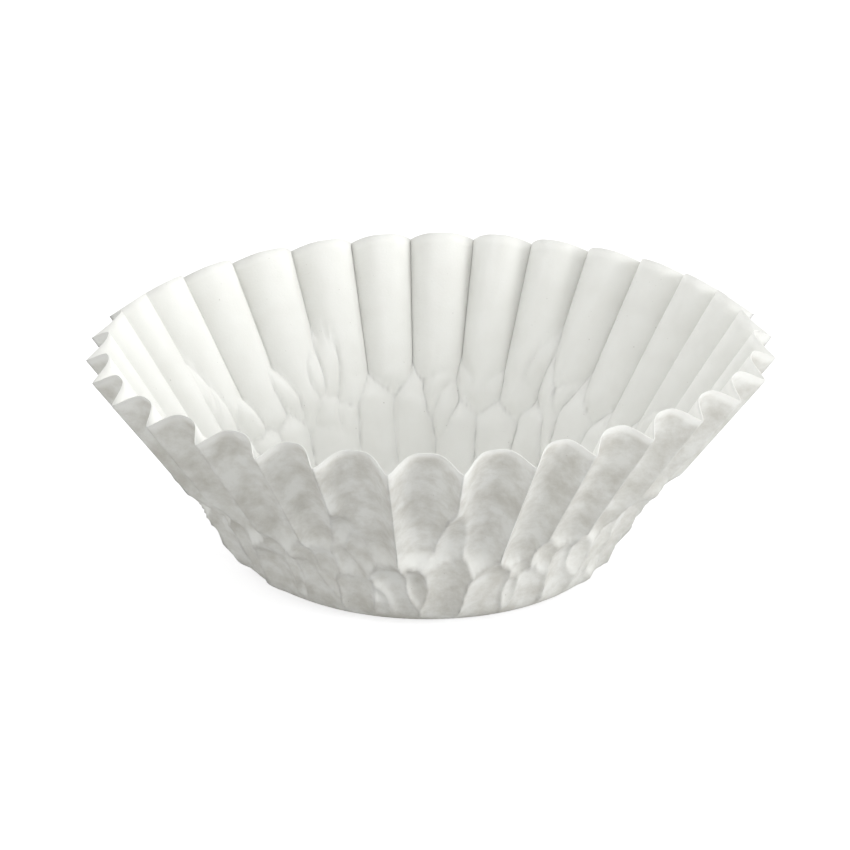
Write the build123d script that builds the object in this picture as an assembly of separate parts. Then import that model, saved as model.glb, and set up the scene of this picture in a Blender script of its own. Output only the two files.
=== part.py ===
from build123d import *
from math import atan2, cos, degrees, hypot, pi, sin, sqrt, tan
import os

# A fluted paper coffee filter, mm. One round sheet of paper: a flat base, a rounded turn and a
# leaning wall gathered into flutes. +Z is up and the origin is the middle of the base's underside.

# Sizes that drive the rest.
flat_diameter = 209.6     # the round sheet before it is pressed and fluted
base_diameter = 82.6      # flat base, out to where the wall's line meets the floor
rim_diameter = 155.0      # open rim, on the middle line of its flutes
flute_count = 32
paper = 0.15
corner_radius = 7.0       # middle of the paper, at the turn from base to wall
ridge_radius = 0.9        # middle of the paper, round each outward ridge at the rim
flute_start = 0.04        # share of the wall below the first trace of a flute

# What follows from them.
base_radius = base_diameter / 2
wall_length = flat_diameter / 2 - base_radius
wall_run = rim_diameter / 2 - base_radius
wall_rise = sqrt(wall_length ** 2 - wall_run ** 2)
slope = atan2(wall_rise, wall_run)
pitch_angle = 2 * pi / flute_count
half = paper / 2
half_across = half / sin(slope)
turn_back = corner_radius * tan(slope / 2)
foot = turn_back + flute_start * wall_length
above_rim = 0.10 * wall_length


def turned(angle, across, out, height):
    """A point given across and out from the flute's own middle plane, which stands at angle."""
    x = out * cos(angle) - across * sin(angle)
    y = out * sin(angle) + across * cos(angle)
    return Vector(x, y, height)


def flute_lean(gathered, radius, fold):
    """How far the panel's edge turns outward, when one flute holds gathered mm of paper."""
    low = 0.0
    high = 0.48 * pi
    for _ in range(60):
        lean = (low + high) / 2
        ridge_half = fold * sin(lean + pitch_angle / 2) / radius
        panel = radius * sin(pitch_angle / 2 - ridge_half) / sin(lean)
        held = 2 * panel * lean + 2 * fold * (lean + pitch_angle / 2)
        if held < gathered:
            low = lean
        else:
            high = lean
    return (low + high) / 2


def section(along, side):
    """The wall's level outline at a length along it. side is +1 outside the paper and -1 inside."""
    height = half + along * sin(slope)
    middle_line = base_radius + along * cos(slope)
    fold = ridge_radius * (0.6 + 0.4 * along / wall_length)
    gathered = 2 * pi * (base_radius + along) / flute_count
    radius = middle_line
    for _ in range(12):
        lean = flute_lean(gathered, radius, fold)
        ridge_lean = lean + pitch_angle / 2
        ridge_half = fold * sin(ridge_lean) / radius
        panel = radius * sin(pitch_angle / 2 - ridge_half) / sin(lean)
        panel_middle = radius * cos(pitch_angle / 2 - ridge_half) + panel * cos(lean)
        ridge_middle = radius * cos(ridge_half) - fold * cos(ridge_lean)
        radius += middle_line - (panel_middle - panel + ridge_middle + fold) / 2
    panel_arc = panel - side * half_across
    ridge_arc = fold + side * half_across
    edges = []
    for k in range(flute_count):
        angle = -pi / 2 + k * pitch_angle
        ridge_angle = angle + pitch_angle / 2
        edge_across = panel_arc * sin(lean)
        edge_out = panel_middle - panel_arc * cos(lean)
        start = turned(angle, -edge_across, edge_out, height)
        middle = turned(angle, 0, panel_middle - panel_arc, height)
        end = turned(angle, edge_across, edge_out, height)
        edges.append(ThreePointArc(start, middle, end))
        top = turned(ridge_angle, 0, ridge_middle + ridge_arc, height)
        after = turned(angle + pitch_angle, -edge_across, edge_out, height)
        edges.append(ThreePointArc(end, top, after))
    return Face(Wire(edges))


def foot_section(along, side):
    """The plain round outline under the flutes, split where the flutes' edges come down."""
    height = half + along * sin(slope)
    radius = base_radius + along * cos(slope) + side * half_across
    ridge_half = 0.06 * pitch_angle
    edges = []
    for k in range(flute_count):
        angle = -pi / 2 + k * pitch_angle
        panel_half = pitch_angle / 2 - ridge_half
        start = turned(angle - panel_half, 0, radius, height)
        middle = turned(angle, 0, radius, height)
        end = turned(angle + panel_half, 0, radius, height)
        edges.append(ThreePointArc(start, middle, end))
        top = turned(angle + pitch_angle / 2, 0, radius, height)
        after = turned(angle + pitch_angle - panel_half, 0, radius, height)
        edges.append(ThreePointArc(end, top, after))
    return Face(Wire(edges))


def wall(side):
    """Everything inside the fluted wall's outer or inner surface."""
    sections = [foot_section(foot, side)]
    for share in (0.24, 0.42, 0.62, 0.82):
        sections.append(section(share * wall_length, side))
    sections.append(section(wall_length + above_rim, side))
    return loft(sections, ruled=True)


def base(side):
    """Everything inside the base and its rounded turn, up to the foot of the flutes."""
    floor = half - side * half
    turn = corner_radius + side * half
    middle_out = base_radius - turn_back
    middle_up = half + corner_radius
    start = (middle_out, floor)
    bend = (middle_out + turn * sin(slope / 2), middle_up - turn * cos(slope / 2))
    end = (middle_out + turn * sin(slope), middle_up - turn * cos(slope))
    foot_up = half + foot * sin(slope)
    foot_out = base_radius + foot * cos(slope) + side * half_across
    arc = ThreePointArc(start, bend, end)
    up = Line(end, (foot_out, foot_up))
    back = Polyline((foot_out, foot_up), (0, foot_up), (0, floor), start)
    profile = make_face(Curve() + [arc, up, back])
    return revolve(Plane.XZ * profile, Axis.Z, 360)


def within_sheet():
    """Everything the flat sheet can reach: the wall's length is the same up every flute."""
    reach = wall_length
    top = reach * sin(1.35)
    inner = base_radius + reach * cos(1.35)
    bend = (base_radius + reach * cos(0.95), half + reach * sin(0.95))
    low = (base_radius + reach * cos(0.55), half + reach * sin(0.55))
    arc = ThreePointArc((inner, half + top), bend, low)
    rest = Polyline(low, (low[0], -5), (0, -5), (0, half + top), (inner, half + top))
    profile = make_face(Curve() + [arc, rest])
    return revolve(Plane.XZ * profile, Axis.Z, 360)


outside = wall(1) + base(1)
inside = wall(-1) + base(-1)
paper_filter = (outside & within_sheet()) - inside

os.makedirs("parts", exist_ok=True)
export_step(paper_filter, "parts/paper_filter.step")
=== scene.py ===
import bpy
import math
import numpy as np
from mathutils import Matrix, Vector


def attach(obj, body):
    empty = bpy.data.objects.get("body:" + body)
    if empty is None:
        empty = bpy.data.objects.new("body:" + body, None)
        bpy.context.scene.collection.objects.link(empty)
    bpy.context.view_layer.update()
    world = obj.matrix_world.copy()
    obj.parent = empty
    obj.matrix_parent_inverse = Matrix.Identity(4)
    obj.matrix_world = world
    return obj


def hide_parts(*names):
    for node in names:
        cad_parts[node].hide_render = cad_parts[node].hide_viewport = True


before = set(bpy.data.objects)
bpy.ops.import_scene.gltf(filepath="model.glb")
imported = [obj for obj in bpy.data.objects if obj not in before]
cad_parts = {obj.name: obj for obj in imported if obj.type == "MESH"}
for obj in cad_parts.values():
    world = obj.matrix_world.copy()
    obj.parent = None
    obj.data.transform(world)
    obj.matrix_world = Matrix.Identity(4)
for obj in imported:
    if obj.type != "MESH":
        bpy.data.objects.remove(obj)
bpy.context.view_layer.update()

# Sizes in mm, as in the CAD part.
FLAT_RADIUS = 104.8
BASE_RADIUS = 41.3
RIM_RADIUS = 77.5
PAPER = 0.15
TURN = 7.0
FLUTES = 32
WALL = FLAT_RADIUS - BASE_RADIUS
SLOPE = math.acos((RIM_RADIUS - BASE_RADIUS) / WALL)
TURN_BACK = TURN * math.tan(SLOPE / 2)

# The grid of the sheet.
ACROSS = 30          # columns in one flute
CROWDING = 1.3       # above 1, columns stand closer together near the ridges
BASE_ROWS = [-22.0, -12.0, -7.0, -4.0, -2.0, 0.0, 1.2, 2.4]
CRUMPLED_ROWS = np.arange(3.4, 34.0, 1.02)
RIM_ROWS = 12

# The crumpled part of the wall.
FACETS = 46
WRINKLES = 64
SHORT_DEPTH = 2.6    # the deepest that a short panel goes, mm

# Colours, as shares of red, green, blue and opacity.
PAPER_CLEAN = (0.91, 0.915, 0.89, 1)
PAPER_SPECK = (0.52, 0.51, 0.48, 1)
# The two ends of the mottle painted where the paper faces down: partly the paper's cloudy formation, partly
# painted shade darker than the clean paper.
PULP_THIN_AND_SHADE = (0.60, 0.58, 0.52, 1)
PULP_THICK_AND_SHADE = (0.87, 0.87, 0.845, 1)
LIGHT_THROUGH = (0.86, 0.86, 0.835, 1)
ROOM_WHITE = (1.0, 1.0, 1.0, 1)
FLOOR_GREY = (0.45, 0.45, 0.46, 1)

# The stage, in metres, watts and degrees.
FLOOR_HALF = 1.5
LAMP_AIM = Vector((0, 0, 0.03))
LAMPS = (
    ("key", (0.4, 0.7, 0.9), 0.7, 4.5),
    ("side", (0.8, -0.45, 0.25), 0.4, 4.5),
)
CAMERA_AIM = Vector((0, 0, 0.031))
CAMERA_DISTANCE = 0.865
CAMERA_ELEVATION = 21.0


def wrapped(angle):
    """An angle brought to the range from -pi to pi."""
    return (angle + np.pi) % (2 * np.pi) - np.pi


def smooth(x, low, high):
    """0 below low, 1 above high, and an S-curve between."""
    t = np.clip((x - low) / (high - low), 0, 1)
    return t * t * (3 - 2 * t)


def ridges(rng):
    """The angle of each outward ridge. They stand evenly, moved by a drift of a few degrees that has one wave
    and two waves round the rim, and then by a little scatter."""
    k = np.arange(FLUTES)
    even = (k + 0.5) * 2 * np.pi / FLUTES
    turned = -1.2
    one_wave = -1.1 * np.cos(even - 1.2)
    two_waves = 0.6 * np.cos(2 * even)
    scatter = rng.uniform(-0.7, 0.7, FLUTES)
    return even + np.radians(turned + one_wave + two_waves + scatter)


def next_ridges(ridge):
    """The angle of the ridge after each one, with a full turn added to the last."""
    after = np.roll(ridge, -1)
    after[-1] += 2 * np.pi
    return after


def profile(s):
    """Radius, height and slope of the paper's middle at a length s along it from the foot of the wall. Below
    the foot the sheet turns through an arc of radius TURN on to the flat base, and above it the wall is
    straight."""
    start = TURN_BACK - TURN * SLOPE
    slope = np.clip((s - start) / TURN, 0, SLOPE)
    flat = np.minimum(s - start, 0)
    up = np.maximum(s - TURN_BACK, 0)
    r = BASE_RADIUS - TURN_BACK + flat + TURN * np.sin(slope) + up * math.cos(SLOPE)
    z = PAPER / 2 + TURN * (1 - np.cos(slope)) + up * math.sin(SLOPE)
    return r, z, slope


def flute_depth(s):
    """How deep the flutes are, in mm: a power of the length up the wall, a little less than in proportion."""
    return 0.30 * np.maximum(s, 0.01) ** 0.715


def rounding(theta, s):
    """How far a flute is rounded, from 0 to 0.75: most at the front and sides, above the crumpled part."""
    return 0.75 * smooth(-np.sin(theta), -0.45, 0.25) * smooth(s, 20, 34)


def long_panels(theta, s, r, ridge, rng):
    """The panel between each two ridges: a trough whose height is a power of the distance from its middle, or
    half a sine wave where it is rounded. Below its own length up the wall it leans aside and fades out."""
    depth = flute_depth(s)
    round_share = rounding(theta, s)
    after = next_ridges(ridge)
    power = 2.0 + 0.7 * smooth(s, 20, 55)
    for k in range(FLUTES):
        middle = (ridge[k] + after[k]) / 2
        half = (after[k] - ridge[k]) / 2
        from_middle = wrapped(theta - middle)
        ends = rng.uniform(19, 29)
        lean = rng.uniform(-0.05, 0.05)
        straight = np.abs(from_middle) / half
        leaning = np.abs(from_middle * r - lean * (s - ends)) / (half * r)
        x = np.where(s < ends, leaning, straight)
        sharp = x ** power
        inside = np.sin(np.pi / 2 * np.minimum(x, 1) ** 3.0)
        beyond = 1 + 2 * (x - 1)
        soft = np.where(x < 1, inside, beyond)
        fade = rng.uniform(0.34, 0.5) * np.maximum(ends - s, 0)
        yield depth * (sharp + round_share * (soft - sharp) - 0.5) + fade


def short_panels(theta, s, r, ridge, rng):
    """A panel under each ridge, near the foot: a trough whose height is the square of the distance from its
    leaning middle. Above its own top it fades out."""
    depth = np.minimum(flute_depth(s), SHORT_DEPTH)
    lean_from = 14
    for k in range(FLUTES):
        at = ridge[k] + rng.uniform(-0.04, 0.04)
        lean = rng.uniform(-0.16, 0.16)
        top = rng.uniform(15, 26)
        curve = rng.uniform(0.05, 0.085)
        x = wrapped(theta - at) * r - lean * (s - lean_from)
        trough = -0.62 * depth + curve * x ** 2
        yield trough + rng.uniform(0.28, 0.5) * np.maximum(s - top, 0)


def facets(theta, s, r, ridge, rng):
    """Small dents scattered over the lower wall, each a bowl longer up the wall than across it: its height is
    the square of the distance across plus that up, each times its own curve."""
    for k in range(FACETS):
        at = rng.uniform(-np.pi, np.pi)
        up = rng.uniform(7, 33)
        lean = rng.uniform(-0.5, 0.5)
        wide = rng.uniform(0.07, 0.16)
        tall = rng.uniform(0.012, 0.035)
        x = wrapped(theta - at) * r - lean * (s - up)
        y = s - up
        yield -rng.uniform(0.45, 0.66) * flute_depth(up) + wide * x ** 2 + tall * y ** 2


def folded(theta, s, r, ridge, rng):
    """How far the paper stands out from its even profile, in mm. Long panels, short panels and facets are all
    troughs that bulge inward. The innermost one at each place is what shows, so they meet in sharp outward
    creases. A pinch of paper stands out along each crease, by how close the next innermost panel is, and last
    each row takes a share of the rows beside it."""
    none_yet = 1e3
    first = np.full(theta.shape, none_yet)
    second = np.full(theta.shape, none_yet)
    for panels in (long_panels, short_panels, facets):
        for h in panels(theta, s, r, ridge, rng):
            second = np.minimum(second, np.maximum(first, h))
            first = np.minimum(first, h)
    apart = second - first
    pinch = 0.75 * np.exp(-apart / 0.2) * (1 - 0.3 * smooth(s, 28, 50)) * (1 - rounding(theta, s))
    h = first * smooth(s, 0.5, 8) + pinch * smooth(s, 2, 6)
    h[1:-1] = 0.17 * h[:-2] + 0.66 * h[1:-1] + 0.17 * h[2:]
    return h


def wrinkles(theta, s, r, rng):
    """Small wrinkles over the upper half of the crumpled part, in mm. Each is a narrow bell curve across a
    bowed and tilted line, and a wider bell curve along it."""
    h = np.zeros(theta.shape)
    narrow = 0.8
    for k in range(WRINKLES):
        at = rng.uniform(-np.pi, np.pi)
        up = rng.uniform(16, 35)
        bow = rng.uniform(-0.09, 0.09)
        tilt = rng.uniform(-0.5, 0.5)
        long = rng.uniform(1.6, 3.4)
        x = wrapped(theta - at) * r
        y = s - up - bow * x ** 2 - tilt * x
        h += rng.uniform(0.14, 0.34) * np.exp(-(x / long) ** 2) * np.exp(-(y / narrow) ** 2)
    return h


def paper_points(rng):
    """The points of the sheet, in metres, as rows from the base to the rim and columns round it that crowd
    towards the ridges. Each point of the profile moves out along its own normal by the folds, the wrinkles
    and a slow sway that grows towards the rim. The foot is then widened unevenly, and the rim is moved and
    tilted a little to the right."""
    ridge = ridges(rng)
    after = next_ridges(ridge)
    v = np.arange(ACROSS) / ACROSS * 2 - 1
    x = np.sign(v) * (1 - (1 - np.abs(v)) ** CROWDING)
    theta = ((ridge + after)[:, None] / 2 + x[None, :] * (after - ridge)[:, None] / 2).ravel()
    above = np.linspace(CRUMPLED_ROWS[-1] + 1.6, WALL, RIM_ROWS)
    s = np.concatenate([BASE_ROWS, CRUMPLED_ROWS, above])
    t, s = np.meshgrid(theta, s)
    r, z, slope = profile(s)
    h = folded(t, s, r, ridge, rng) + wrinkles(t, s, r, rng)
    h *= smooth(s, -1.5, 3)
    share = np.clip(s / WALL, 0, 1)
    waves = np.random.default_rng(7).uniform(-1, 1, 8)
    sway = 0.5 * np.sin(3 * t + 3 * waves[0]) + 0.4 * np.sin(5 * t + 3 * waves[1])
    out = h + share * sway
    radius = r + out * np.sin(slope)
    height = z - out * np.cos(slope)
    foot = smooth(r, 22, 36) * (1 - smooth(z, 4, 24))
    side = np.cos(t)
    front = -np.sin(t)
    radius += foot * (1.6 - 0.9 * side + 0.7 * front - 0.9 * np.cos(2 * t) + 1.6 * front * side)
    px = radius * np.cos(t) + 0.9 * share
    py = radius * np.sin(t)
    height += share * 0.9 * side
    height = np.maximum(height, PAPER / 2)
    return np.stack([px, py, height], -1) / 1000


def paper_mesh():
    """The middle of the sheet: a grid closed round the axis, open at the rim, with one face over the middle
    of the base. Solidify gives it its thickness."""
    points = paper_points(np.random.default_rng(32))
    rows, columns = points.shape[:2]
    number = np.arange(rows * columns).reshape(rows, columns)
    a0 = number[:-1]
    a1 = np.roll(a0, -1, 1)
    b0 = number[1:]
    b1 = np.roll(b0, -1, 1)
    faces = np.stack([a0, a1, b1, b0], -1).reshape(-1, 4)[:, ::-1]
    base_middle = number[0]
    mesh = bpy.data.meshes.new("paper_filter")
    mesh.from_pydata(points.reshape(-1, 3), [], faces.tolist() + [base_middle.tolist()])
    mesh.polygons.foreach_set("use_smooth", np.ones(len(mesh.polygons), bool))
    mesh.validate()
    mesh.update()
    return mesh


def noise(tree, place, scale, detail, rough):
    """Cloudy noise from 0 to 1 over a place."""
    n = tree.nodes.new("ShaderNodeTexNoise")
    n.inputs["Scale"].default_value = scale
    n.inputs["Detail"].default_value = detail
    n.inputs["Roughness"].default_value = rough
    tree.links.new(place, n.inputs["Vector"])
    return n.outputs["Fac"]


def ramp(tree, value, low, low_colour, high, high_colour):
    """One colour below a low value, another above a high one, and a straight blend between."""
    n = tree.nodes.new("ShaderNodeValToRGB")
    n.color_ramp.elements[0].position = low
    n.color_ramp.elements[0].color = low_colour
    n.color_ramp.elements[1].position = high
    n.color_ramp.elements[1].color = high_colour
    tree.links.new(value, n.inputs["Fac"])
    return n.outputs["Color"]


def blend(tree, share, first, second, most):
    """A colour that goes from first towards second, by share of the most that it may."""
    part = tree.nodes.new("ShaderNodeMath")
    part.operation = "MULTIPLY"
    part.inputs[1].default_value = most
    tree.links.new(share, part.inputs[0])
    n = tree.nodes.new("ShaderNodeMix")
    n.data_type = "RGBA"
    tree.links.new(part.outputs[0], n.inputs["Factor"])
    for socket, colour in ((n.inputs[6], first), (n.inputs[7], second)):
        if isinstance(colour, tuple):
            socket.default_value = colour
        else:
            tree.links.new(colour, socket)
    return n.outputs[2]


def downward(tree, normal):
    """Nearly 0 where the paper faces up, as inside the cup, rising to 1 where it faces down, as on the outer
    side. It is the mask for the painted shade, since the faces that turn down, away from the lamps above, are
    the shaded ones.
    """
    split = tree.nodes.new("ShaderNodeSeparateXYZ")
    tree.links.new(normal, split.inputs[0])
    down = tree.nodes.new("ShaderNodeMapRange")
    down.inputs["From Min"].default_value = 0.05
    down.inputs["From Max"].default_value = -0.3
    down.inputs["To Min"].default_value = 0.08
    down.inputs["To Max"].default_value = 1.0
    tree.links.new(split.outputs["Z"], down.inputs["Value"])
    return down.outputs[0]


def fibre_bump(tree, place):
    """The normal of a fine fibre grain."""
    grain = noise(tree, place, 1500.0, 4.0, 0.65)
    bump = tree.nodes.new("ShaderNodeBump")
    bump.inputs["Strength"].default_value = 0.6
    bump.inputs["Distance"].default_value = 0.00012
    tree.links.new(grain, bump.inputs["Height"])
    return bump.outputs["Normal"]


def paper_material():
    """Thin white filter paper: matt, with a fibre grain and a few dark specks, letting some light through.
    Where it faces down, on its outer side, it is mottled darker where the paper lies thin: the paper's own
    formation, with painted shade in its darkness."""
    mat = bpy.data.materials.new("filter_paper")
    mat.use_nodes = True
    tree = mat.node_tree
    tree.nodes.clear()
    coords = tree.nodes.new("ShaderNodeTexCoord")
    place = coords.outputs["Object"]
    # Painted shade: this mask is 1 where the paper faces down, away from the lamps above.
    painted_shade_mask = downward(tree, coords.outputs["Normal"])
    cloud = noise(tree, place, 170.0, 5.0, 0.66)
    pulp_and_shade = ramp(tree, cloud, 0.34, PULP_THIN_AND_SHADE, 0.62, PULP_THICK_AND_SHADE)
    fleck = noise(tree, place, 1300.0, 1.0, 0.5)
    clean = ramp(tree, fleck, 0.185, PAPER_SPECK, 0.21, PAPER_CLEAN)
    # Where the paper faces down, the light-through colour and, by up to 0.4, the face colour turn to the
    # darker mottle: painted shade together with the paper's formation.
    through = blend(tree, painted_shade_mask, LIGHT_THROUGH, pulp_and_shade, 1.0)
    front = blend(tree, painted_shade_mask, clean, pulp_and_shade, 0.4)
    face = tree.nodes.new("ShaderNodeBsdfPrincipled")
    face.inputs["Roughness"].default_value = 0.9
    face.inputs["Specular IOR Level"].default_value = 0.15
    tree.links.new(front, face.inputs["Base Color"])
    tree.links.new(fibre_bump(tree, place), face.inputs["Normal"])
    behind = tree.nodes.new("ShaderNodeBsdfTranslucent")
    tree.links.new(through, behind.inputs["Color"])
    mix = tree.nodes.new("ShaderNodeMixShader")
    mix.inputs["Fac"].default_value = 0.35
    tree.links.new(face.outputs[0], mix.inputs[1])
    tree.links.new(behind.outputs[0], mix.inputs[2])
    out = tree.nodes.new("ShaderNodeOutputMaterial")
    tree.links.new(mix.outputs[0], out.inputs["Surface"])
    return mat


def fluted_paper():
    """The filter, with its thickness and its material, in place of the CAD node."""
    mesh = paper_mesh()
    paper = bpy.data.objects.new("fluted_paper", mesh)
    bpy.context.scene.collection.objects.link(paper)
    thick = paper.modifiers.new("paper", "SOLIDIFY")
    thick.thickness = PAPER / 1000
    thick.offset = 0.0
    thick.use_even_offset = False
    mesh.materials.append(paper_material())
    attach(paper, "root")
    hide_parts("paper_filter")


def white_to_camera(tree, shader, out):
    """The shader, with plain white in its place where the camera sees it straight, in a reflection or through
    glass."""
    white = tree.nodes.new("ShaderNodeEmission")
    white.inputs["Color"].default_value = ROOM_WHITE
    rays = tree.nodes.new("ShaderNodeLightPath")
    any_of = rays.outputs["Is Camera Ray"]
    for name in ("Is Glossy Ray", "Is Transmission Ray"):
        most = tree.nodes.new("ShaderNodeMath")
        most.operation = "MAXIMUM"
        tree.links.new(any_of, most.inputs[0])
        tree.links.new(rays.outputs[name], most.inputs[1])
        any_of = most.outputs[0]
    mix = tree.nodes.new("ShaderNodeMixShader")
    tree.links.new(any_of, mix.inputs[0])
    tree.links.new(shader, mix.inputs[1])
    tree.links.new(white.outputs[0], mix.inputs[2])
    tree.links.new(mix.outputs[0], out)


def room():
    """A white world that lights the paper from all round."""
    world = bpy.data.worlds.new("room")
    bpy.context.scene.world = world
    world.use_nodes = True
    tree = world.node_tree
    back = tree.nodes["Background"]
    back.inputs["Color"].default_value = ROOM_WHITE
    back.inputs["Strength"].default_value = 1.08
    white_to_camera(tree, back.outputs[0], tree.nodes["World Output"].inputs["Surface"])


def floor_material():
    """A matt grey that keeps the shadow, with a glow added where the camera sees it, so that it looks white
    there and throws no more light on the paper."""
    mat = bpy.data.materials.new("floor")
    mat.use_nodes = True
    tree = mat.node_tree
    matt = tree.nodes["Principled BSDF"]
    matt.inputs["Base Color"].default_value = FLOOR_GREY
    matt.inputs["Roughness"].default_value = 1.0
    matt.inputs["Specular IOR Level"].default_value = 0.0
    glow = tree.nodes.new("ShaderNodeEmission")
    glow.inputs["Strength"].default_value = 0.72
    pale = tree.nodes.new("ShaderNodeAddShader")
    tree.links.new(matt.outputs[0], pale.inputs[0])
    tree.links.new(glow.outputs[0], pale.inputs[1])
    rays = tree.nodes.new("ShaderNodeLightPath")
    mix = tree.nodes.new("ShaderNodeMixShader")
    tree.links.new(rays.outputs["Is Camera Ray"], mix.inputs[0])
    tree.links.new(matt.outputs[0], mix.inputs[1])
    tree.links.new(pale.outputs[0], mix.inputs[2])
    tree.links.new(mix.outputs[0], tree.nodes["Material Output"].inputs["Surface"])
    return mat


def pale_floor():
    """A flat square floor under the filter."""
    half = FLOOR_HALF
    corners = [(-half, -half, 0), (half, -half, 0), (half, half, 0), (-half, half, 0)]
    flat = bpy.data.meshes.new("floor")
    flat.from_pydata(corners, [], [(0, 1, 2, 3)])
    flat.materials.append(floor_material())
    floor = bpy.data.objects.new("floor", flat)
    bpy.context.scene.collection.objects.link(floor)


def soft_lights():
    """Two square soft lights aimed at the filter: the key behind, above and to the right, and a low one at
    the right front."""
    for name, at, size, power in LAMPS:
        lamp = bpy.data.lights.new(name, "AREA")
        lamp.size = size
        lamp.energy = power
        o = bpy.data.objects.new(name, lamp)
        o.location = at
        o.rotation_euler = (LAMP_AIM - Vector(at)).to_track_quat("-Z", "Y").to_euler()
        bpy.context.scene.collection.objects.link(o)


def camera():
    """A long lens in front, a little above the rim."""
    data = bpy.data.cameras.new("camera")
    data.sensor_width = 36
    data.lens = 156.0
    o = bpy.data.objects.new("camera", data)
    up = math.radians(CAMERA_ELEVATION)
    back = -CAMERA_DISTANCE * math.cos(up)
    o.location = CAMERA_AIM + Vector((0, back, CAMERA_DISTANCE * math.sin(up)))
    o.rotation_euler = (math.pi / 2 - up, 0, 0)
    bpy.context.scene.collection.objects.link(o)
    bpy.context.scene.camera = o


fluted_paper()
room()
pale_floor()
soft_lights()
camera()
bpy.context.scene.view_settings.view_transform = "Standard"
